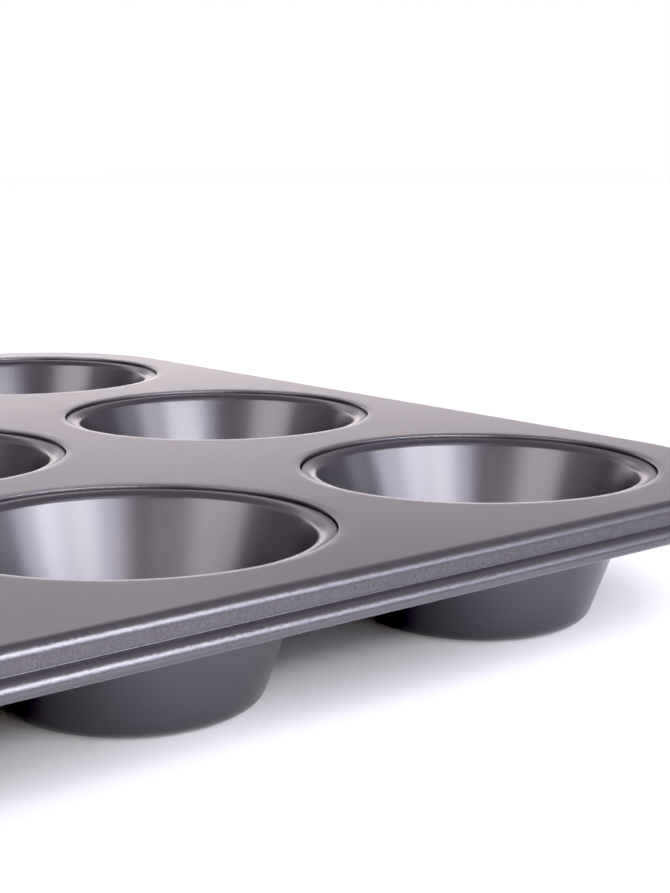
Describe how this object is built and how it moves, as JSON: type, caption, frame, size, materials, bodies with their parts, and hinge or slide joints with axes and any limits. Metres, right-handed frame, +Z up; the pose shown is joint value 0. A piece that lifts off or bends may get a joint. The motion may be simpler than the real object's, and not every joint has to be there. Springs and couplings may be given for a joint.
{
  "type": "muffin pan",
  "caption": "Rectangular dark non-stick muffin pan with tapered round cups set in a flat deck, large round corners and a small rolled rim.",
  "frame": {"origin": "centre of the pan's footprint, on the plane the cups' bottoms stand on", "axes": "+X along the long side with four cups, +Y from the front row to the back row, +Z up out of the cups' mouths"},
  "size_m": [0.3432, 0.27, 0.0299],
  "materials": {
    "deck_coating": "satin dark grey non-stick coating with fine metallic flake",
    "cup_coating": "satin dark grey non-stick coating with fine metallic flake"
  },
  "bodies": {
    "root": {"deck": "deck_coating", "cup_front_1": "cup_coating", "cup_front_2": "cup_coating", "cup_front_3": "cup_coating", "cup_front_4": "cup_coating", "cup_middle_1": "cup_coating", "cup_middle_2": "cup_coating", "cup_middle_3": "cup_coating", "cup_middle_4": "cup_coating", "cup_back_1": "cup_coating", "cup_back_2": "cup_coating", "cup_back_3": "cup_coating", "cup_back_4": "cup_coating"}
  },
  "joints": []
}
